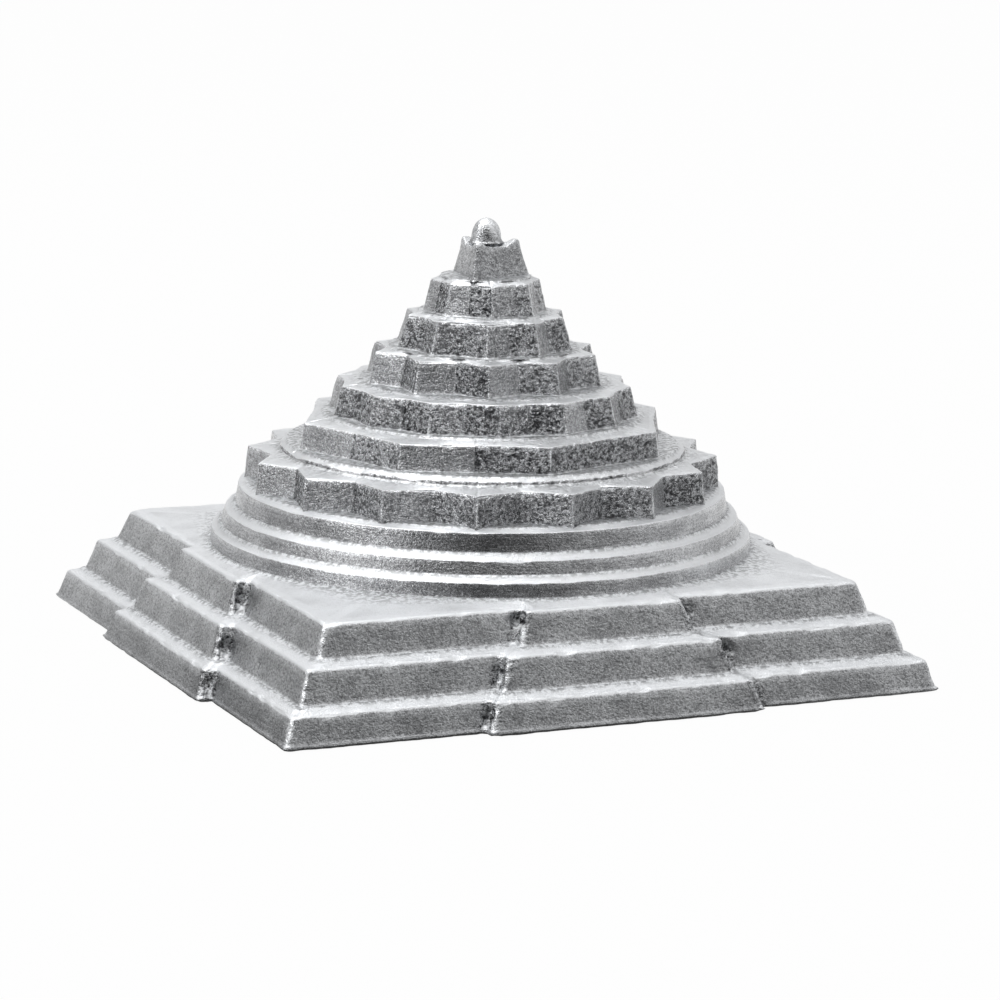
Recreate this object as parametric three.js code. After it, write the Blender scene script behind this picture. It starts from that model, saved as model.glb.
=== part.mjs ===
// Shri yantra in its raised meru form, cast in silver-coloured metal: a square base of three
// gated steps, three round girdles, six pointed tiers, a triangle and the dome at the top.
// Millimetres, +Z up. The origin is the middle of the flat underside, and the near side of
// the base faces -Y. Radii grow outwards from the dome, so each piece is as wide as the foot
// of the piece on top of it plus the ledge that shows around that foot.
import * as THREE from 'three';

// Dome at the top (bindu)
const DOME_FOOT_RADIUS = 1.95;
const DOME_NECK_RADIUS = 1.75;
const DOME_FLARE_HEIGHT = 0.55;
const DOME_HEIGHT = 2.65;

// Triangle under the dome
const TRIANGLE = {
  name: 'triangle_tier',
  ledge: 0.15,
  lean: 0.65,
  wall: 3.5,
  rise: 0.25,
  turn: 110.8,
  cornerRadius: 0.5,
};

// Pointed tiers from the top down. ledge: tread between the foot above and this tier's valleys;
// depth: how far the points stand out of the valleys; lean: how much wider the foot is than
// the edge; wall: height up to the edge; rise: slope of the tread from the edge to the seat.
const TIERS = [
  { name: 'eight_point_upper_tier', points: 8, ledge: 0.45, depth: 0.62, lean: 0.9, wall: 3.6,
    rise: 0.3, turn: -18 },
  { name: 'ten_point_inner_tier', points: 10, ledge: 0.95, depth: 1.2, lean: 1.15, wall: 3.75,
    rise: 0.2, turn: 13.5 },
  { name: 'ten_point_outer_tier', points: 10, ledge: 0.5, depth: 2.15, lean: 0.75, wall: 3.6,
    rise: 0.2, turn: 14.3 },
  { name: 'fourteen_point_tier', points: 14, ledge: 1.85, depth: 1.0, lean: 0.9, wall: 3.45,
    rise: 0.15, turn: 7.5 },
  { name: 'eight_point_lower_tier', points: 8, ledge: 1.8, depth: 1.75, lean: 0.5, wall: 3.0,
    rise: 0.4, turn: -3.7 },
  { name: 'sixteen_point_tier', points: 16, ledge: 2.4, depth: 2.5, lean: 0.4, wall: 3.5,
    rise: 1.1, turn: -2.5 },
];

// Low round plinth on the tread of the sixteen-point tier, under the foot of the tier above
const PLINTH = { carrier: 'sixteen_point_tier', ledge: 1.05, lean: 0.15, wall: 0.55, foot: 0.3 };

// Round girdles from the top down
const GIRDLES = [
  { name: 'girdle_upper', ledge: 0.4, lean: 0.33, wall: 1.8, rise: 0.6 },
  { name: 'girdle_middle', ledge: 1.1, lean: 0.5, wall: 1.35, rise: 0.75 },
  { name: 'girdle_lower', ledge: 1.0, lean: 0.2, wall: 1.5, rise: 0.7 },
];

// Square steps from the top down. gateLedge is the ledge at the flanks of the gate blocks.
const STEPS = [
  { name: 'bhupura_upper_step', ledge: 0.7, gateLedge: 0, lean: 1.25, wall: 3.55, rise: 0.55 },
  { name: 'bhupura_middle_step', ledge: 1.8, gateLedge: 2.1, lean: 1.15, wall: 3.6, rise: 0.35 },
  { name: 'bhupura_lower_step', ledge: 1.6, gateLedge: 1.3, lean: 1.15, wall: 3.6, rise: 0.4 },
];
const GATE_TOP_HALF_WIDTH = 9.1;
const GATE_PROJECTION = 1.5;
const STEP_CORNER_RADIUS = 0.6;

// Edges rounded by the mould, and the flat margin of a seat around the foot that it carries
const EDGE_ROUND = 0.3;
const ARRIS_RADIUS = 0.3;
const SEAT_MARGIN = 0.08;

// Smoothness of the rounded forms
const EDGE_SEGMENTS = 3;
const ARRIS_SEGMENTS = 2;
const ROUND_SEGMENTS = 96;
const DOME_SEGMENTS = 28;
const DOME_RINGS = 9;

const CAST_METAL = { color: 0xb9bdc2, roughness: 0.36, metalness: 0.9 };
const QUARTER = Math.PI / 2;
const NEAR_SIDE = -QUARTER;

function onCircle(radius, angle) {
  return new THREE.Vector2(radius * Math.cos(angle), radius * Math.sin(angle));
}

// Outline with each corner drawn as a short curve, so its number of points never changes
function roundCorners(corners, radius, segments) {
  return corners.flatMap((corner, i) => {
    const before = corners.at(i - 1).clone().sub(corner);
    const after = corners[(i + 1) % corners.length].clone().sub(corner);
    const halfAngle = Math.acos(before.dot(after) / (before.length() * after.length())) / 2;
    const longest = 0.45 * Math.min(before.length(), after.length());
    const reach = Math.min(radius / Math.tan(halfAngle), longest);
    const start = corner.clone().add(before.setLength(reach));
    const end = corner.clone().add(after.setLength(reach));
    return new THREE.QuadraticBezierCurve(start, corner, end).getPoints(segments);
  });
}

function starOutline(tier, tipRadius) {
  const corners = [];
  for (let i = 0; i < 2 * tier.points; i += 1) {
    const angle = NEAR_SIDE + THREE.MathUtils.degToRad(tier.turn) + (i * Math.PI) / tier.points;
    corners.push(onCircle(i % 2 === 0 ? tipRadius : tipRadius - tier.depth, angle));
  }
  return roundCorners(corners, ARRIS_RADIUS, ARRIS_SEGMENTS);
}

function triangleOutline(inradius) {
  const corners = [0, 1, 2].map((i) =>
    onCircle(2 * inradius, THREE.MathUtils.degToRad(TRIANGLE.turn) + (i * 2 * Math.PI) / 3));
  return roundCorners(corners, TRIANGLE.cornerRadius, EDGE_SEGMENTS + 1);
}

// Square with a gate block standing out of the middle of each side
function gatedSquareOutline(half, gateHalf) {
  const face = half + GATE_PROJECTION;
  const nearSide = [[-half, -half], [-gateHalf, -half], [-gateHalf, -face], [gateHalf, -face],
    [gateHalf, -half]].map(([x, y]) => new THREE.Vector2(x, y));
  const origin = new THREE.Vector2();
  const corners = [0, 1, 2, 3].flatMap((side) =>
    nearSide.map((corner) => corner.clone().rotateAround(origin, side * QUARTER)));
  return roundCorners(corners, STEP_CORNER_RADIUS, EDGE_SEGMENTS);
}

// Circle with one point in the direction of each point of an outline
function circleLike(outline, radius) {
  return outline.map((point) => onCircle(radius, point.angle()));
}

// Wall from the foot to the rounded edge, as steps inwards from the edge line and heights
function wallProfile(lean, wall) {
  const profile = [[-lean, 0]];
  for (let i = 0; i <= EDGE_SEGMENTS; i += 1) {
    const angle = (QUARTER * i) / EDGE_SEGMENTS;
    profile.push([EDGE_ROUND * (1 - Math.cos(angle)), wall - EDGE_ROUND * (1 - Math.sin(angle))]);
  }
  return profile;
}

function level(outline, z) {
  return outline.map((point) => new THREE.Vector3(point.x, point.y, z));
}

// Closed body through outlines that lie one above the other
function loft(sections) {
  const count = sections[0].length;
  const indices = [];
  for (let s = 0; s < sections.length - 1; s += 1) {
    for (let i = 0; i < count; i += 1) {
      const a = s * count + i;
      const b = s * count + ((i + 1) % count);
      indices.push(a, b, b + count, a, b + count, a + count);
    }
  }
  const top = (sections.length - 1) * count;
  THREE.ShapeUtils.triangulateShape(sections[0], []).forEach(([a, b, c]) =>
    indices.push(c, b, a));
  THREE.ShapeUtils.triangulateShape(sections.at(-1), []).forEach(([a, b, c]) =>
    indices.push(top + a, top + b, top + c));
  const geometry = new THREE.BufferGeometry().setFromPoints(sections.flat());
  geometry.setIndex(indices);
  geometry.computeVertexNormals();
  return geometry;
}

// Body with a leaning wall, whose outline is given for each step inwards, up to its seat
function tierBody(outlineAt, lean, wall, seat, seatHeight, treadLevels = []) {
  const walls = wallProfile(lean, wall).map(([inwards, z]) => level(outlineAt(inwards), z));
  return loft([...walls, ...treadLevels, level(seat, seatHeight)]);
}

// The plinth's foot and its edge, above the edge of the tier that carries it
function plinthLevels(outline, radius, edgeHeight) {
  const foot = edgeHeight + PLINTH.foot;
  return [level(circleLike(outline, radius + PLINTH.lean), foot),
    level(circleLike(outline, radius), foot + PLINTH.wall)];
}

function domeGeometry() {
  const profile = [new THREE.Vector2(0, 0), new THREE.Vector2(DOME_FOOT_RADIUS, 0)];
  for (let i = 0; i <= DOME_RINGS; i += 1) {
    const angle = (QUARTER * i) / DOME_RINGS;
    const height = (DOME_HEIGHT - DOME_FLARE_HEIGHT) * Math.sin(angle);
    const radius = i === DOME_RINGS ? 0 : DOME_NECK_RADIUS * Math.cos(angle);
    profile.push(new THREE.Vector2(radius, DOME_FLARE_HEIGHT + height));
  }
  return new THREE.LatheGeometry(profile, DOME_SEGMENTS).rotateX(QUARTER);
}

function girdleGeometry(girdle, edgeRadius, seatRadius) {
  const wall = wallProfile(girdle.lean, girdle.wall).map(([inwards, z]) =>
    new THREE.Vector2(edgeRadius - inwards, z));
  const height = girdle.wall + girdle.rise;
  const profile = [new THREE.Vector2(0, 0), ...wall, new THREE.Vector2(seatRadius, height),
    new THREE.Vector2(0, height)];
  return new THREE.LatheGeometry(profile, ROUND_SEGMENTS).rotateX(QUARTER);
}

// Pieces from the top down, each with its height, so that the stack can be set from the floor
const pieces = [{ name: 'bindu', height: DOME_HEIGHT, geometry: domeGeometry() }];

const triangleInradius = DOME_FOOT_RADIUS + TRIANGLE.ledge;
const triangleFoot = triangleOutline(triangleInradius + TRIANGLE.lean);
const triangleSeat = circleLike(triangleFoot, DOME_FOOT_RADIUS + SEAT_MARGIN);
const triangleHeight = TRIANGLE.wall + TRIANGLE.rise;
pieces.push({
  name: TRIANGLE.name,
  height: triangleHeight,
  geometry: tierBody((inwards) => triangleOutline(triangleInradius - inwards), TRIANGLE.lean,
    TRIANGLE.wall, triangleSeat, triangleHeight),
});

// Reach of the foot that the next piece has to carry
let carried = Math.max(...triangleFoot.map((point) => point.length()));

for (const tier of TIERS) {
  const tip = carried + tier.ledge + tier.depth;
  const height = tier.wall + tier.rise;
  const seat = circleLike(starOutline(tier, tip), carried + SEAT_MARGIN);
  const plinth = tier.name === PLINTH.carrier
    ? plinthLevels(starOutline(tier, tip), carried + PLINTH.ledge, tier.wall) : [];
  const geometry = tierBody((inwards) => starOutline(tier, tip - inwards), tier.lean,
    tier.wall, seat, height, plinth);
  pieces.push({ name: tier.name, height, geometry });
  carried = tip + tier.lean;
}

for (const girdle of GIRDLES) {
  const edge = carried + girdle.ledge;
  const geometry = girdleGeometry(girdle, edge, carried + SEAT_MARGIN);
  pieces.push({ name: girdle.name, height: girdle.wall + girdle.rise, geometry });
  carried = edge + girdle.lean;
}

// The lowest girdle stands on a round seat, and each square step on the outline above it
let gateHalf = GATE_TOP_HALF_WIDTH;
let footAbove = null;
for (const step of STEPS) {
  const half = carried + step.ledge;
  const gate = gateHalf + step.gateLedge;
  const outlineAt = (inwards) => gatedSquareOutline(half - inwards, gate - inwards);
  const seat = footAbove ?? circleLike(outlineAt(0), carried + SEAT_MARGIN);
  const height = step.wall + step.rise;
  pieces.push({
    name: step.name,
    height,
    geometry: tierBody(outlineAt, step.lean, step.wall, seat, height),
  });
  carried = half + step.lean;
  gateHalf = gate + step.lean;
  footAbove = gatedSquareOutline(carried + SEAT_MARGIN, gateHalf + SEAT_MARGIN);
}

const yantra = new THREE.Group();
let floor = 0;
for (const piece of pieces.reverse()) {
  const mesh = new THREE.Mesh(piece.geometry, new THREE.MeshStandardMaterial(CAST_METAL));
  mesh.name = piece.name;
  mesh.position.z = floor;
  yantra.add(mesh);
  floor += piece.height;
}

export default yantra;
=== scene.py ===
import math
from collections import namedtuple
import bpy
from mathutils import Matrix, Vector, noise


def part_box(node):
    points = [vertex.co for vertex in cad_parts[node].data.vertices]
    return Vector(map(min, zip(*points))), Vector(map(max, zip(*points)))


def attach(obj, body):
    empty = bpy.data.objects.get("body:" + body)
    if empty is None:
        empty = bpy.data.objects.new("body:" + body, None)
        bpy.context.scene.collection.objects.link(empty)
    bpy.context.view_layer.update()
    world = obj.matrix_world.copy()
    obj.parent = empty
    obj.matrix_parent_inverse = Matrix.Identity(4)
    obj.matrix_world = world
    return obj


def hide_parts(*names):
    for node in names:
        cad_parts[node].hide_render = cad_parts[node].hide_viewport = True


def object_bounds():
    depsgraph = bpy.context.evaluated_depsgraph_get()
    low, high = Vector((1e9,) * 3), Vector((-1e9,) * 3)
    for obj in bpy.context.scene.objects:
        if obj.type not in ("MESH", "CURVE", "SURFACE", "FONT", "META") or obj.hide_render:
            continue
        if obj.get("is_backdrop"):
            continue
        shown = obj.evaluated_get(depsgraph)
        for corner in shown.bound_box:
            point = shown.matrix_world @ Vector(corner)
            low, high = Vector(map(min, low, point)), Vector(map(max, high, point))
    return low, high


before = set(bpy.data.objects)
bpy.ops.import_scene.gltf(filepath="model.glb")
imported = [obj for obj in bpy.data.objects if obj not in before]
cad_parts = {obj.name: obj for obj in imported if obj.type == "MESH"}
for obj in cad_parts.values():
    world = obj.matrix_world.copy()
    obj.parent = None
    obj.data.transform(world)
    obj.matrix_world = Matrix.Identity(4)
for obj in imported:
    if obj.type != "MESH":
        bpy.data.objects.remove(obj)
cad_low, cad_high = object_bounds()

# Camera at the photograph's place: a long lens a little above the base, looking over the
# corner between the near side and the left side, with the small lean of the photograph.
MM = 0.001
LENS_RIGHT = Vector((0.91481, -0.40344, 0.01883))
LENS_UP = Vector((0.06222, 0.18686, 0.98041))
LENS_BACK = -Vector((0.39906, 0.89572, -0.19604))
STANDPOINT = Vector((-173.36, -389.12, 101.39)) * MM
sight = bpy.data.cameras.new("sight")
sight.sensor_width = 36
sight.lens = 139.14
sight.shift_x, sight.shift_y = 0.0189, 0.0021
sight.clip_start, sight.clip_end = 0.01, 20
camera = bpy.data.objects.new("camera", sight)
camera.matrix_world = Matrix.LocRotScale(
    STANDPOINT, Matrix((LENS_RIGHT, LENS_UP, LENS_BACK)).transposed().to_quaternion(), None)
bpy.context.scene.collection.objects.link(camera)
bpy.context.scene.camera = camera
bpy.context.scene.view_settings.view_transform = "Standard"

# Lower step of the square base: a silver-coloured casting with a gate block standing out of
# the middle of each side. Its walls lean inwards so that it leaves the mould, its tread
# slopes up to the next step, and the edge on the ground is worn round. Lengths are in mm.
EDGE_RADIUS = 0.42
FOOT_FILLET = 0.35
SEAT_MARGIN = 0.25
GATE_OUT = 1.5
FOOT_SUNK = 0.1
GROUND_RADIUS = 0.5
UNDERSIDE_INSET = 2.0
CREVICE_START, SEAT_CREVICE = 0.55, 0.7
LARGEST_CURVE = 0.42
LOWER_FOOT, LOWER_GATE = 38.07, 16.05
MIDDLE_FOOT, MIDDLE_GATE = 35.32, 13.6
# Radii at the corner of the square, then at the inner, outer, outer and inner corner of a gate.
STEP_CORNERS = (0.75, 0.7, 0.65, 0.65, 0.7)
BASE_SPACING = 0.45
WALL_SPACING = 0.3
STEP_ARC = 5
FOOT_ARC = 3
EDGE_ARC = 6


def gated_square(half, gate_half):
    """Corners of a square with a gate block in the middle of each side, in mm."""
    out = half + GATE_OUT
    side = [(-half, -half), (-gate_half, -half), (-gate_half, -out), (gate_half, -out),
            (gate_half, -half)]
    corners = []
    for _ in range(4):
        corners += side
        side = [(-y, x) for x, y in side]
    return corners


def ease(value, low, high):
    """0 below low, 1 above high, and a straight rise between."""
    return min(max((value - low) / (high - low), 0.0), 1.0)


def run_counts(corners, spacing):
    """How many facets each straight run of an outline takes."""
    ends = zip(corners, corners[1:] + corners[:1])
    return [max(2, round(math.dist(a, b) / spacing)) for a, b in ends]


def soften(corners, radii, runs, arc=STEP_ARC):
    """The outline with each corner drawn as a curve and its straight runs cut into facets."""
    curves = []
    for i, corner in enumerate(corners):
        here = Vector(corner)
        before = Vector(corners[i - 1]) - here
        after = Vector(corners[(i + 1) % len(corners)]) - here
        longest = LARGEST_CURVE * min(before.length, after.length)
        reach = min(radii[i % len(radii)] / math.tan(before.angle(after) / 2), longest)
        a, b = here + before.normalized() * reach, here + after.normalized() * reach
        steps = [k / arc for k in range(arc + 1)]
        curves.append([a * (1 - t) ** 2 + here * 2 * t * (1 - t) + b * t * t for t in steps])
    outline = []
    for i, curve in enumerate(curves):
        following = curves[(i + 1) % len(curves)][0]
        outline += curve
        outline += [curve[-1].lerp(following, k / runs[i]) for k in range(1, runs[i])]
    return [(p.x, p.y) for p in outline]


def wall_rows(lean, wall, edge_radius=EDGE_RADIUS, fillet=FOOT_FILLET, spacing=WALL_SPACING):
    """Rows from the foot to the rounded edge: steps inwards, height, edge wear and painted
    highlight, crevice (painted shade, with pale ragged patches).
    """
    rows = []
    for k in range(FOOT_ARC + 1):
        angle = math.radians(90 * k / FOOT_ARC)
        up = fillet * (1 - math.cos(angle))
        out = fillet * (1 - math.sin(angle))
        rows.append((-lean * (1 - up / wall) - out, up, 0.0, 1 - k / FOOT_ARC))
    top = wall - edge_radius
    count = max(2, round((top - fillet) / spacing))
    for k in range(1, count):
        up = fillet + (top - fillet) * k / count
        rows.append((-lean * (1 - up / wall), up, 0.25 if k == count - 1 else 0.0, 0.0))
    for k in range(EDGE_ARC + 1):
        angle = math.radians(90 * k / EDGE_ARC)
        below_top = edge_radius * (1 - math.sin(angle))
        inwards = edge_radius * (1 - math.cos(angle)) - lean * below_top / wall
        rows.append((inwards, wall - below_top, 0.35 + 0.65 * math.sin(2 * angle), 0.0))
    return rows


def tread_rows(edge, seat, low, high, count):
    """Rows of a tread from the edge of a wall inwards to the foot of the piece above."""
    rows = []
    for k in range(1, count + 1):
        s = k / count
        ring = [(a[0] + (b[0] - a[0]) * s, a[1] + (b[1] - a[1]) * s) for a, b in zip(edge, seat)]
        # The crevice value paints shade on the tread where the piece above stands, with pale
        # ragged patches.
        crevice = ease(s, CREVICE_START, 1.0) * SEAT_CREVICE
        rows.append((ring, low + (high - low) * s, 0.3 if k == 1 else 0.0, crevice))
    return rows


SWELL_PATCH, DIMPLE_PATCH, CHIP_PATCH = 7.0, 1.3, 2.1
CHIP_START = 0.05
GRIT_PATCHES = ((0.4, 1), (0.75, -1))
GRIT_DEPTH = 0.075
PLAIN_GRIT = 0.2


def cast_body(name, node, rows, swell=0.1, dimple=0.03, nick=0.12, coarse=None, arris=None,
              lift=None, pits=()):
    """A closed casting through rows of outline points in mm, uneven as the mould left it.

    swell, dimple, nick: depths of slow waves, small dents and chips of worn edges; coarse: how
    granular the wall is at each point of a row; arris: how worn an upright edge is there, and so
    how pale it is painted as wear and painted highlight; lift: height added at a point; pits:
    centre, radius and depth of casting holes, whose hollows are painted dark as painted shade."""
    count = len(rows[0][0])
    coarse = coarse or [PLAIN_GRIT] * count
    arris = arris or [0.0] * count
    verts, edge, crevice, granular = [], [], [], []
    grid = [[Vector((x, y, z)) for x, y in ring] for ring, z, _, _ in rows]
    seed = Vector((len(name) * 1.7, len(name) * 3.1, 0.4))
    for r, ring in enumerate(grid):
        below, above = grid[max(r - 1, 0)], grid[min(r + 1, len(grid) - 1)]
        for i, point in enumerate(ring):
            along = ring[(i + 1) % count] - ring[i - 1]
            outwards = along.cross(above[i] - below[i]).normalized()
            # This value chips worn edges and paints them pale: wear and painted highlight.
            wear_and_highlight = max(rows[r][2], arris[i])
            slow = noise.noise(point / SWELL_PATCH + seed)
            quick = noise.noise(point / DIMPLE_PATCH + seed)
            chip = max(0.0, noise.noise(point / CHIP_PATCH - seed) - CHIP_START) * wear_and_highlight
            grit = sum(noise.noise(point / patch + seed * sign) for patch, sign in GRIT_PATCHES)
            upright = 1 - ease(outwards.z, 0.4, 0.8)
            depth = swell * (0.5 + 0.5 * slow) + dimple * (1 + quick) + nick * chip * 3
            depth += GRIT_DEPTH * coarse[i] * upright * (1 + grit)
            hollow = 0.0
            for centre, radius, deep in pits:
                inside = 1 - (point - Vector(centre)).length / (radius * (1 + 0.5 * grit))
                hollow = max(hollow, ease(inside, 0.0, 0.5))
                depth += deep * ease(inside, 0.0, 0.6)
            held = 0.0 if r in (0, len(grid) - 1) else 1.0
            place = (point - outwards * depth * held) * MM
            if lift:
                place.z += lift(point) * MM
            place.z = min(max(place.z, cad_low.z), cad_high.z)
            verts.append(place)
            edge.append(wear_and_highlight)
            crevice.append(max(rows[r][3], hollow))
            granular.append(coarse[i])
    faces = []
    for r in range(len(rows) - 1):
        for i in range(count):
            j = (i + 1) % count
            a, b = r * count, (r + 1) * count
            faces.append((a + i, a + j, b + j, b + i))
    faces.append(tuple(reversed(range(count))))
    faces.append(tuple(range((len(rows) - 1) * count, len(rows) * count)))
    mesh = bpy.data.meshes.new(name)
    mesh.from_pydata(verts, [], faces)
    mesh.polygons.foreach_set("use_smooth", [True] * (len(faces) - 2) + [False] * 2)
    for label, values in (("edge_wear_and_highlight", edge), ("crevice", crevice), ("coarse", granular)):
        mesh.attributes.new(label, "FLOAT", "POINT").data.foreach_set("value", values)
    piece = bpy.data.objects.new(name, mesh)
    bpy.context.scene.collection.objects.link(piece)
    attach(piece, "root")
    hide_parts(node)
    return piece


class Shade:
    """A value or colour on its way through a finish, so that shader sums read as sums."""

    def __init__(self, finish, socket):
        self.finish, self.socket = finish, socket

    def sum(self, operation, *values):
        return self.finish.node("ShaderNodeMath", {"operation": operation},
                                dict(enumerate(values)))

    def __add__(self, other): return self.sum("ADD", self, other)
    def __radd__(self, other): return self.sum("ADD", other, self)
    def __sub__(self, other): return self.sum("SUBTRACT", self, other)
    def __rsub__(self, other): return self.sum("SUBTRACT", other, self)
    def __mul__(self, other): return self.sum("MULTIPLY", self, other)
    def least(self, other): return self.sum("MINIMUM", self, other)
    def most(self, other): return self.sum("MAXIMUM", self, other)

    def step(self, low, high):
        """0 below low, 1 above high, and a soft rise between."""
        return self.finish.node("ShaderNodeMapRange", {"interpolation_type": "SMOOTHSTEP"},
                                {"Value": self, "From Min": low, "From Max": high})


class Finish:
    """A material built node by node."""

    def __init__(self, name):
        self.material = bpy.data.materials.new(name)
        self.material.use_nodes = True
        self.nodes = self.material.node_tree.nodes
        self.links = self.material.node_tree.links
        self.shader = self.nodes["Principled BSDF"]

    def node(self, kind, settings=None, sockets=None, output=0):
        made = self.nodes.new(kind)
        for key, value in (settings or {}).items():
            setattr(made, key, value)
        for key, value in (sockets or {}).items():
            self.feed(made.inputs[key], value)
        return Shade(self, made.outputs[output])

    def feed(self, target, value):
        if isinstance(value, Shade):
            self.links.new(value.socket, target)
        else:
            target.default_value = value

    def mix(self, factor, first, second):
        return self.node("ShaderNodeMix", {"data_type": "RGBA"},
                         {0: factor, 6: first, 7: second}, 2)

    def grain(self, place, size, detail=2.0, roughness=0.55):
        """Cloudy noise whose patches are about size mm across."""
        return self.node("ShaderNodeTexNoise", {}, {"Vector": place, "Scale": 1 / (size * MM),
                         "Detail": detail, "Roughness": roughness})


# WHITE_METAL is the painted highlight colour of treads and edges.
WHITE_METAL = (0.84, 0.855, 0.875, 1)
PALE_METAL = (0.64, 0.65, 0.665, 1)
DULL_METAL = (0.36, 0.365, 0.375, 1)
# The darkest colour of the grain speckle, also painted into crevices and pits as painted shade.
DARK_GRAIN_AND_SHADE = (0.03, 0.03, 0.034, 1)


def cast_metal(name, sand, sand_depth, line_depth, contrast, polish):
    """Silver-coloured casting: treads painted pale as a painted highlight, edges painted pale as
    wear and painted highlight, granular walls, and painted shade in the pits and crevices.

    sand, sand_depth: size and depth of the grains in mm; line_depth: depth of the fine level
    lines; contrast: between dark and pale grains; polish: roughness of a plain wall."""
    finish = Finish(name)
    place = finish.node("ShaderNodeTexCoord", output="Object")
    facing = finish.node("ShaderNodeNewGeometry", output="Normal")
    up = finish.node("ShaderNodeSeparateXYZ", {}, {0: facing}, 2)
    # Upward faces (tread) are painted pale below: a painted highlight of the light from above.
    tread = up.step(0.45, 0.8)
    edge = finish.node("ShaderNodeAttribute", {"attribute_name": "edge_wear_and_highlight"}, {}, "Fac")
    crevice = finish.node("ShaderNodeAttribute", {"attribute_name": "crevice"}, {}, "Fac")
    coarse = finish.node("ShaderNodeAttribute", {"attribute_name": "coarse"}, {}, "Fac")
    cloud = finish.grain(place, 4.0, 3.0)
    patch = finish.grain(place, 1.1, 2.0).step(0.35, 0.65)
    crinkled = finish.node("ShaderNodeVectorMath", {"operation": "MULTIPLY"},
                           {0: place, 1: (1.0, 1.0, 1.5)})
    sandy = finish.grain(crinkled, sand, 3.0, 0.75)
    fine = finish.grain(place, 0.18, 2.0, 0.7)
    flat = finish.node("ShaderNodeVectorMath", {"operation": "MULTIPLY"},
                       {0: place, 1: (1.0, 1.0, 22.0)})
    lines = finish.grain(flat, 4.0, 3.0, 0.75)
    ragged = finish.grain(place, 0.6, 3.0, 0.7).step(0.42, 0.58)
    # Edges are painted pale as wear and painted highlight.
    rubbed_and_highlit = (edge * (0.45 + ragged * 0.75)).least(1.0)
    # In crevices and pit hollows, ragged patches are painted pale and the rest dark as painted
    # shade.
    torn = (crevice * ragged * 1.2).least(1.0)
    grit = (0.25 + coarse * (0.55 + patch * 0.4)) * (1 - tread * 0.8) * (1 - rubbed_and_highlit * 0.6)
    # Painted shade in the hollows of the grain's bump.
    pit = (1 - sandy.step(0.40, 0.47)) * grit
    speck = 0.5 + (fine - 0.5) * contrast + (sandy - 0.5) * contrast * grit * 1.6
    speck = speck + (lines - 0.5) * line_depth * 9 + (cloud - 0.5) * 0.9
    wall = finish.mix(speck.step(0.05, 0.95), DULL_METAL, PALE_METAL)
    wall = finish.mix(grit * 0.6, wall, finish.mix(speck.step(0.35, 0.8), DARK_GRAIN_AND_SHADE, PALE_METAL))
    # pale: painted highlight on treads, wear and painted highlight on edges, and pale ragged
    # patches in crevices.
    pale = (tread * (0.45 + cloud * 0.8) + rubbed_and_highlit + torn).least(1.0)
    colour = finish.mix(pale, wall, WHITE_METAL)
    # Painted shade in the crevices at the feet of walls, between parts and in the casting holes.
    dark = (crevice * (1 - ragged) * 0.75).least(1.0)
    colour = finish.mix((pit * 0.8 + dark).least(1.0), colour, DARK_GRAIN_AND_SHADE)
    finish.feed(finish.shader.inputs["Base Color"], colour)
    rough = polish + (fine - 0.5) * 0.25 + tread * 0.2 + dark * 0.2 - rubbed_and_highlit * 0.05
    finish.feed(finish.shader.inputs["Roughness"], rough)
    finish.shader.inputs["Metallic"].default_value = 1.0
    relief = sandy * sand_depth * grit + lines * line_depth * 0.4 * (1 - tread * 0.6)
    relief = relief + fine * (0.025 + tread * 0.05)
    bump = finish.node("ShaderNodeBump", {}, {"Strength": 1.0, "Distance": MM, "Height": relief})
    finish.feed(finish.shader.inputs["Normal"], bump)
    return finish.material


base_metal = cast_metal("satin_cast_metal", sand=0.4, sand_depth=0.3, line_depth=0.025,
                        contrast=1.8, polish=0.3)


def arris_wear_and_highlight(most, arc):
    """Wear and painted highlight over the curve of one upright edge, strongest in its middle."""
    return [most * math.sin(math.pi * (k + 0.5) / (arc + 1)) for k in range(arc + 1)]


def worn_foot(lean):
    """Rows of the underside's rim and of the edge on the ground, worn round, painted a little pale
    as wear and painted highlight, and a little dark as painted shade.
    """
    angles = [math.radians(90 * k / 4) for k in range(5)]
    rim = [(GROUND_RADIUS * (1 - math.sin(a)), GROUND_RADIUS * (1 - math.cos(a))) for a in angles]
    return [(-lean + UNDERSIDE_INSET, 0, 0, 0)] + [(-lean + x, up, 0.3, 0.1) for x, up in rim]


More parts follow.
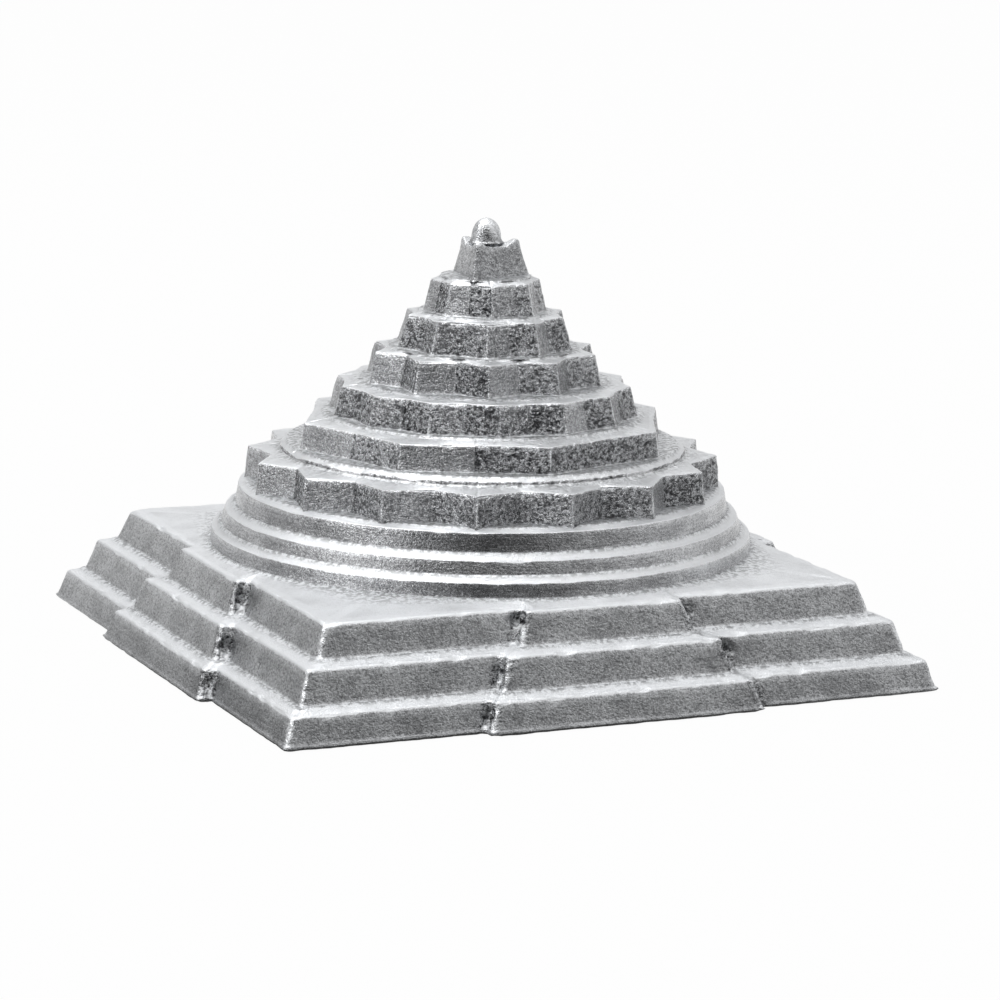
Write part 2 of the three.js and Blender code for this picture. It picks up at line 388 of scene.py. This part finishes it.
def square_step(name, node, foot, edge, gate_foot, seat, wall, treads=4, ground=False, pits=()):
    """One gated step. foot, edge: half-widths at the foot and the top of its walls; gate_foot:
    half-width of a gate block; seat: outline of the piece that stands on it; wall: height.

    The flanks of the gate blocks are granular, because the mould tore them as it was drawn."""
    low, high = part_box(node)
    low, high = low.z / MM, high.z / MM
    lean = foot - edge
    runs = run_counts(gated_square(foot, gate_foot), BASE_SPACING)
    profile = wall_rows(lean, wall)
    if ground:
        profile = worn_foot(lean) + [row for row in profile if row[1] > GROUND_RADIUS + 0.05]
    rows = []
    for inwards, up, wear_and_highlight, crevice in profile:
        corners = gated_square(edge - inwards, gate_foot - lean - inwards)
        sink = 0 if ground else FOOT_SUNK * crevice
        rows.append((soften(corners, STEP_CORNERS, runs), low + up - sink, wear_and_highlight, crevice))
    rows += tread_rows(rows[-1][0], seat(rows[-1][0], runs), low + wall, high, treads)
    torn, arris = [], []
    for i, run in enumerate(runs):
        corner = i % len(STEP_CORNERS)
        on_flank = corner in (1, 3)
        torn += [1.0 if corner else 0.3] * (STEP_ARC + 1)
        torn += [1.0 if on_flank else 0.15] * (run - 1)
        arris += arris_wear_and_highlight(0.9 if corner in (0, 2, 3) else 0.2, STEP_ARC)
        arris += [0.55 if on_flank else 0.0] * (run - 1)
    piece = cast_body(name, node, rows, coarse=torn, arris=arris, pits=pits)
    piece.data.materials.append(base_metal)


def under_step(foot, gate_foot):
    """The seat is the outline of the step above, drawn a little outside its foot."""
    corners = gated_square(foot + SEAT_MARGIN, gate_foot + SEAT_MARGIN)
    return lambda edge_ring, runs: soften(corners, STEP_CORNERS, runs)


square_step("lower_step", "bhupura_lower_step", foot=LOWER_FOOT, edge=36.92,
            gate_foot=LOWER_GATE, seat=under_step(MIDDLE_FOOT, MIDDLE_GATE), wall=3.6,
            ground=True,
            pits=(((-15.4, -37.7, 1.7), 1.0, 0.5), ((-38.2, -15.5, 2.0), 0.8, 0.4)))

# Middle step of the base: the same casting one size smaller, with its gate blocks above the
# gates of the lower step. It stands on the flat seat inside the sloped tread.
UPPER_FOOT, UPPER_GATE = 32.37, 10.35

square_step("middle_step", "bhupura_middle_step", foot=MIDDLE_FOOT, edge=34.17,
            gate_foot=MIDDLE_GATE, seat=under_step(UPPER_FOOT, UPPER_GATE), wall=3.6,
            pits=(((13.1, -35.0, 6.0), 1.2, 0.9), ((-12.9, -34.9, 5.6), 0.9, 0.5),
                  ((-35.2, -12.9, 5.3), 1.0, 0.7), ((-35.0, -22.0, 5.6), 0.6, 0.3)))

# Upper step of the base: the narrowest of the three, with the plateau that rises slightly to
# the round girdles. Its gate blocks reach just past the girdles.
GIRDLE_FOOT = 30.42


def ring_towards(outline, radius):
    """A circle with one point towards each point of an outline."""
    return [(radius * x / math.hypot(x, y), radius * y / math.hypot(x, y)) for x, y in outline]


def under_girdle(edge_ring, runs):
    """The seat is a circle a little outside the foot of the lowest girdle."""
    return ring_towards(edge_ring, GIRDLE_FOOT + SEAT_MARGIN)


square_step("upper_step", "bhupura_upper_step", foot=UPPER_FOOT, edge=31.12,
            gate_foot=UPPER_GATE, seat=under_girdle, wall=3.55, treads=12,
            pits=(((-9.6, -31.9, 10.4), 0.9, 0.6), ((-32.2, -9.7, 9.6), 1.0, 0.5),
                  ((9.9, -32.0, 10.0), 0.9, 0.5)))

# Three round girdles, turned true after casting: fine lines run round their walls, and each
# has a sloped shoulder, painted bright as a painted highlight, that the next one stands on.
GIRDLE_POINTS = 360
Girdle = namedtuple("Girdle", "name node edge lean wall seat")
GIRDLES = (
    Girdle("lower_girdle", "girdle_lower", edge=30.22, lean=0.2, wall=1.6, seat=29.35),
    Girdle("middle_girdle", "girdle_middle", edge=28.72, lean=0.5, wall=1.5, seat=27.75),
    Girdle("upper_girdle", "girdle_upper", edge=27.29, lean=0.33, wall=2.1, seat=26.2),
)
girdle_metal = cast_metal("turned_cast_metal", sand=0.4, sand_depth=0.3, line_depth=0.09,
                          contrast=1.2, polish=0.24)


def circle(radius, count=GIRDLE_POINTS):
    turn = [math.tau * i / count for i in range(count)]
    return [(radius * math.cos(a), radius * math.sin(a)) for a in turn]


for name, node, edge, lean, wall, seat in GIRDLES:
    low, high = (corner.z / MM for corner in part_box(node))
    profile = wall_rows(lean, wall, edge_radius=0.2, fillet=0.12, spacing=0.25)
    rows = [(circle(edge - inwards), low + up - FOOT_SUNK * crevice, wear_and_highlight, crevice)
            for inwards, up, wear_and_highlight, crevice in profile]
    rows += tread_rows(rows[-1][0], circle(seat), low + wall, high, 4)
    piece = cast_body(name, node, rows, swell=0.06, dimple=0.02, nick=0.06,
                      coarse=[0.08] * GIRDLE_POINTS)
    piece.data.materials.append(girdle_metal)

# Six pointed tiers, the petals and points of the diagram: cast with coarse sandy walls that
# lean inwards and worn edges painted bright as wear and painted highlight, each turned a little
# off the base by hand. The tier of sixteen carries a low round plinth for the tier above it.
tier_metal = cast_metal("sandy_cast_metal", sand=0.5, sand_depth=0.85, line_depth=0.004,
                        contrast=2.2, polish=0.17)
Tier = namedtuple("Tier", "name node points tip depth lean wall turn seat spacing")
TIERS = (
    Tier("tier_of_sixteen", "sixteen_point_tier", points=16, tip=26.49, depth=2.5, lean=0.4,
         wall=3.5, turn=-2.5, seat=21.9, spacing=0.24),
    Tier("lower_tier_of_eight", "eight_point_lower_tier", points=8, tip=21.09, depth=1.9,
         lean=0.5, wall=3.0, turn=-3.7, seat=17.8, spacing=0.24),
    Tier("tier_of_fourteen", "fourteen_point_tier", points=14, tip=16.64, depth=1.0, lean=0.9,
         wall=3.45, turn=7.5, seat=14.0, spacing=0.22),
    Tier("outer_tier_of_ten", "ten_point_outer_tier", points=10, tip=13.04, depth=2.15,
         lean=0.75, wall=3.6, turn=14.3, seat=10.6, spacing=0.2),
    Tier("inner_tier_of_ten", "ten_point_inner_tier", points=10, tip=9.24, depth=1.2,
         lean=1.15, wall=3.75, turn=13.5, seat=7.3, spacing=0.2),
    Tier("upper_tier_of_eight", "eight_point_upper_tier", points=8, tip=6.19, depth=0.62,
         lean=0.9, wall=3.6, turn=-18, seat=5.0, spacing=0.2),
)
TIER_ARC = 4
TIER_EDGE_RADIUS = 0.32
TIER_FILLET, TIER_SUNK = 0.42, 0.16
WIDEST_FILLET, WIDEST_SUNK = 0.15, 0.45
TREAD_STRIP = 0.5
POINT_RADIUS, VALLEY_RADIUS = 0.4, 0.3


def star(points, tip, depth, turn):
    """Corners of a star whose first point is turned from the near side by turn degrees."""
    corners = []
    for i in range(2 * points):
        angle = math.radians(turn - 90 + 180 * i / points)
        radius = tip - depth * (i % 2)
        corners.append((radius * math.cos(angle), radius * math.sin(angle)))
    return corners


def flank_grit(runs, seed):
    """Coarseness at each point of an outline: the flank left of each point is the coarse one."""
    flanks = [(0.9 if i % 2 else 0.3) + 0.9 * noise.noise((i * 1.7, seed, 0.5))
              for i in range(len(runs))]
    values = []
    for i, run in enumerate(runs):
        values += [flanks[i - 1] + (flanks[i] - flanks[i - 1]) * k / TIER_ARC
                   for k in range(TIER_ARC + 1)]
        values += [flanks[i]] * (run - 1)
    return [min(max(value, 0.0), 1.0) for value in values]


def point_wear_and_highlight(runs):
    """Wear and painted highlight at each point of an outline: the upright edges of a star's points
    are rubbed and painted bright.
    """
    values = []
    for i, run in enumerate(runs):
        values += arris_wear_and_highlight(0.15 if i % 2 else 0.95, TIER_ARC) + [0.0] * (run - 1)
    return values


PlinthRow = namedtuple("PlinthRow", "radius up wear crevice")
# The crevice values paint shade at the plinth's foot.
PLINTH_FOOT = PlinthRow(22.9, 0.3, 0.0, 0.5)
PLINTH = (PlinthRow(22.8, 0.45, 0.0, 0.2), PlinthRow(22.75, 0.62, 0.2, 0.0),
          PlinthRow(22.66, 0.76, 0.8, 0.0), PlinthRow(22.5, 0.84, 1.0, 0.0))

for name, node, points, tip, depth, lean, wall, turn, seat, spacing in TIERS:
    low, high = (corner.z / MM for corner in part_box(node))
    widest = node == TIERS[0].node
    fillet, sunk = (WIDEST_FILLET, WIDEST_SUNK) if widest else (TIER_FILLET, TIER_SUNK)
    runs = run_counts(star(points, tip, depth, turn), spacing)
    rows = []
    for inwards, up, wear_and_highlight, crevice in wall_rows(lean, wall, TIER_EDGE_RADIUS, fillet, spacing):
        corners = star(points, tip - inwards, depth, turn)
        ring = soften(corners, (POINT_RADIUS, VALLEY_RADIUS), runs, TIER_ARC)
        rows.append((ring, low + up - sunk * crevice, wear_and_highlight, crevice))
    brow, treads = low + wall, max(4, round((tip - seat) / TREAD_STRIP))
    if widest:
        rows += tread_rows(ring, ring_towards(ring, PLINTH_FOOT.radius), brow,
                           brow + PLINTH_FOOT.up, 8)
        rows += [(ring_towards(ring, radius), brow + up, wear_and_highlight, crevice)
                 for radius, up, wear_and_highlight, crevice in PLINTH]
        brow, treads = brow + PLINTH[-1].up, 3
    rows += tread_rows(rows[-1][0], ring_towards(ring, seat), brow, high, treads)
    piece = cast_body(name, node, rows, swell=0.16, dimple=0.045, nick=0.1,
                      coarse=flank_grit(runs, tip), arris=point_wear_and_highlight(runs))
    piece.data.materials.append(tier_metal)

# Triangle under the dome: three sloped sandy walls with well rounded corners. It stands on
# the upper tier of eight points, and one of its sides faces right of the near corner.
TRIANGLE_INRADIUS = 2.1
TRIANGLE_LEAN = 0.65
TRIANGLE_WALL = 3.5
TRIANGLE_TURN = 110.8
TRIANGLE_CORNER = 0.55
TRIANGLE_SPACING = 0.22
TRIANGLE_SUNK = 0.12
DOME_SEAT = 1.4
HORN_HEIGHT = 0.55
low, high = (corner.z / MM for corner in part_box("triangle_tier"))


def triangle(inradius):
    angles = [math.radians(TRIANGLE_TURN + 120 * i) for i in range(3)]
    return [(2 * inradius * math.cos(a), 2 * inradius * math.sin(a)) for a in angles]


runs = run_counts(triangle(TRIANGLE_INRADIUS + TRIANGLE_LEAN), TRIANGLE_SPACING)
rows = []
for inwards, up, wear_and_highlight, crevice in wall_rows(TRIANGLE_LEAN, TRIANGLE_WALL, edge_radius=0.3,
                                            fillet=0.15, spacing=0.25):
    ring = soften(triangle(TRIANGLE_INRADIUS - inwards), (TRIANGLE_CORNER,), runs, arc=6)
    rows.append((ring, low + up - TRIANGLE_SUNK * crevice, wear_and_highlight, crevice))
rows += tread_rows(ring, ring_towards(ring, DOME_SEAT), low + TRIANGLE_WALL, high, 4)


def horn(point):
    """The corners of the top stand up a little where the metal pulled away as it set."""
    outer = ease(math.hypot(point.x, point.y), 2.4, 3.2)
    return HORN_HEIGHT * outer * ease(point.z, low + 2.6, low + 3.4)


piece = cast_body("triangle_block", "triangle_tier", rows, swell=0.12, dimple=0.03, nick=0.08,
                  lift=horn)
piece.data.materials.append(tier_metal)

# Dome at the top (bindu): a small bullet-shaped knob with a flared foot, the most handled
# place of the casting, painted the brightest as wear and painted highlight, with painted shade
# at its foot.
DOME_POINTS = 56
DOME_FOOT_RADIUS = 2.02
DOME_RADIUS = 1.72
FLARE_TOP = 0.52
FLARE_STEPS = 4
CROWN_HEIGHT = 2.13
CROWN_ARC = 88.5
CROWN_STEPS = 14
dome_metal = cast_metal("handled_cast_metal", sand=0.5, sand_depth=0.4, line_depth=0.0,
                        contrast=1.2, polish=0.2)
low, high = (corner.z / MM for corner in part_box("bindu"))
rows = []
for k in range(FLARE_STEPS + 1):
    t = k / FLARE_STEPS
    radius = DOME_FOOT_RADIUS - (DOME_FOOT_RADIUS - DOME_RADIUS) * math.sin(t * math.pi / 2)
    rows.append((circle(radius, DOME_POINTS), low - FOOT_SUNK + (FLARE_TOP + FOOT_SUNK) * t,
                 0.2, 0.8 * (1 - t)))
for k in range(1, CROWN_STEPS + 1):
    angle = math.radians(CROWN_ARC * k / CROWN_STEPS)
    rows.append((circle(DOME_RADIUS * math.cos(angle), DOME_POINTS),
                 low + FLARE_TOP + CROWN_HEIGHT * math.sin(angle),
                 0.4 + 0.6 * math.sin(angle), 0.0))
piece = cast_body("dome", "bindu", rows, swell=0.05, dimple=0.02, nick=0.03)
piece.data.materials.append(dome_metal)

# White table and soft studio light. The room is bright behind the casting, above it and at
# its sides, and dark on the near side. The table looks white, but its near half is painted dark
# for the metal's reflections, a painted reflection, as the photograph shows.
AWAY = (0.407, 0.914, 0.0)
LEFTWARDS = (-0.914, 0.407, 0.0)
RIGHTWARDS = (0.914, -0.407, 0.0)
UPWARDS = (0.0, 0.0, 1.0)
TABLE_RADIUS = 2.5  # in metres, as are the places and sizes of the lamps
mesh = bpy.data.meshes.new("table_top")
rim = [(x, y, 0) for x, y in circle(TABLE_RADIUS, 64)]
mesh.from_pydata(rim, [], [tuple(range(len(rim)))])
table = bpy.data.objects.new("table_top", mesh)
bpy.context.scene.collection.objects.link(table)
table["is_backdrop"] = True
paper = Finish("white_paper")
paper.shader.inputs["Roughness"].default_value = 0.9
paper.shader.inputs["Specular IOR Level"].default_value = 0.1
fibre = paper.grain(paper.node("ShaderNodeTexCoord", output="Object"), 4.0)
paper.feed(paper.shader.inputs["Base Color"],
           paper.mix(fibre, (0.80, 0.80, 0.80, 1), (0.84, 0.84, 0.84, 1)))
seen = paper.node("ShaderNodeLightPath", output="Is Camera Ray")
glint = paper.node("ShaderNodeLightPath", output="Is Glossy Ray")
through = paper.node("ShaderNodeLightPath", output="Is Transmission Ray")
# Painted reflection: glossy rays see the near half of the table dark and the far half white;
# camera rays see it all white.
beyond = paper.node("ShaderNodeVectorMath", {"operation": "DOT_PRODUCT"},
                    {0: paper.node("ShaderNodeTexCoord", output="Object"), 1: AWAY}, "Value")
backdrop_and_painted_reflection = paper.nodes.new("ShaderNodeEmission")
paper.feed(backdrop_and_painted_reflection.inputs["Color"], paper.mix(seen.most(beyond.step(-0.04, 0.06)),
                                           (0.07, 0.07, 0.07, 1), (1, 1, 1, 1)))
cover = paper.nodes.new("ShaderNodeMixShader")
paper.feed(cover.inputs[0], seen.most(glint).most(through) * 0.97)
paper.links.new(paper.shader.outputs[0], cover.inputs[1])
paper.links.new(backdrop_and_painted_reflection.outputs[0], cover.inputs[2])
paper.links.new(cover.outputs[0], paper.nodes["Material Output"].inputs[0])
mesh.materials.append(paper.material)


class Room(Finish):
    """The world, built with the same calls as a material."""

    def __init__(self):
        world = bpy.data.worlds.new("studio")
        bpy.context.scene.world = world
        world.use_nodes = True
        self.nodes, self.links = world.node_tree.nodes, world.node_tree.links
        self.shader = self.nodes["Background"]


room = Room()
sky_place = room.node("ShaderNodeTexCoord", output="Generated")


def towards(direction):
    """1 for light from that direction, 0 square to it and -1 from the opposite side."""
    return room.node("ShaderNodeVectorMath", {"operation": "DOT_PRODUCT"},
                     {0: sky_place, 1: direction}, "Value")


behind, left, right, above = (towards(way) for way in (AWAY, LEFTWARDS, RIGHTWARDS, UPWARDS))
level = (0.045 + behind.step(-0.1, 0.9) * 0.12 + behind.step(0.6, 0.95) * 0.6
         + left.step(0.35, 0.95) * 0.56 + right.step(0.3, 0.95) * 0.78
         + above.step(0.5, 0.9) * 0.85).least(1.0)
seen = room.node("ShaderNodeLightPath", output="Is Camera Ray")
glint = room.node("ShaderNodeLightPath", output="Is Glossy Ray")
through = room.node("ShaderNodeLightPath", output="Is Transmission Ray")
mirrored = glint.most(through)
strength = seen + (1 - seen) * (mirrored * level + (1 - mirrored) * 0.45)
room.feed(room.shader.inputs["Strength"], strength)
room.shader.inputs["Color"].default_value = (1, 1, 1, 1)


def soft_lamp(name, place, size, power):
    """A round lamp that faces the origin."""
    lamp = bpy.data.lights.new(name, "AREA")
    lamp.shape, lamp.size, lamp.energy = "DISK", size, power
    holder = bpy.data.objects.new(name, lamp)
    holder.rotation_mode = "QUATERNION"
    holder.location = place
    holder.rotation_quaternion = Vector(place).to_track_quat("Z", "Y")
    bpy.context.scene.collection.objects.link(holder)


soft_lamp("overhead_lamp", place=(-0.15, 0.25, 0.95), size=0.7, power=3.2)
soft_lamp("left_lamp", place=(-0.9, -0.15, 0.45), size=0.5, power=2.0)

low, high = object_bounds()
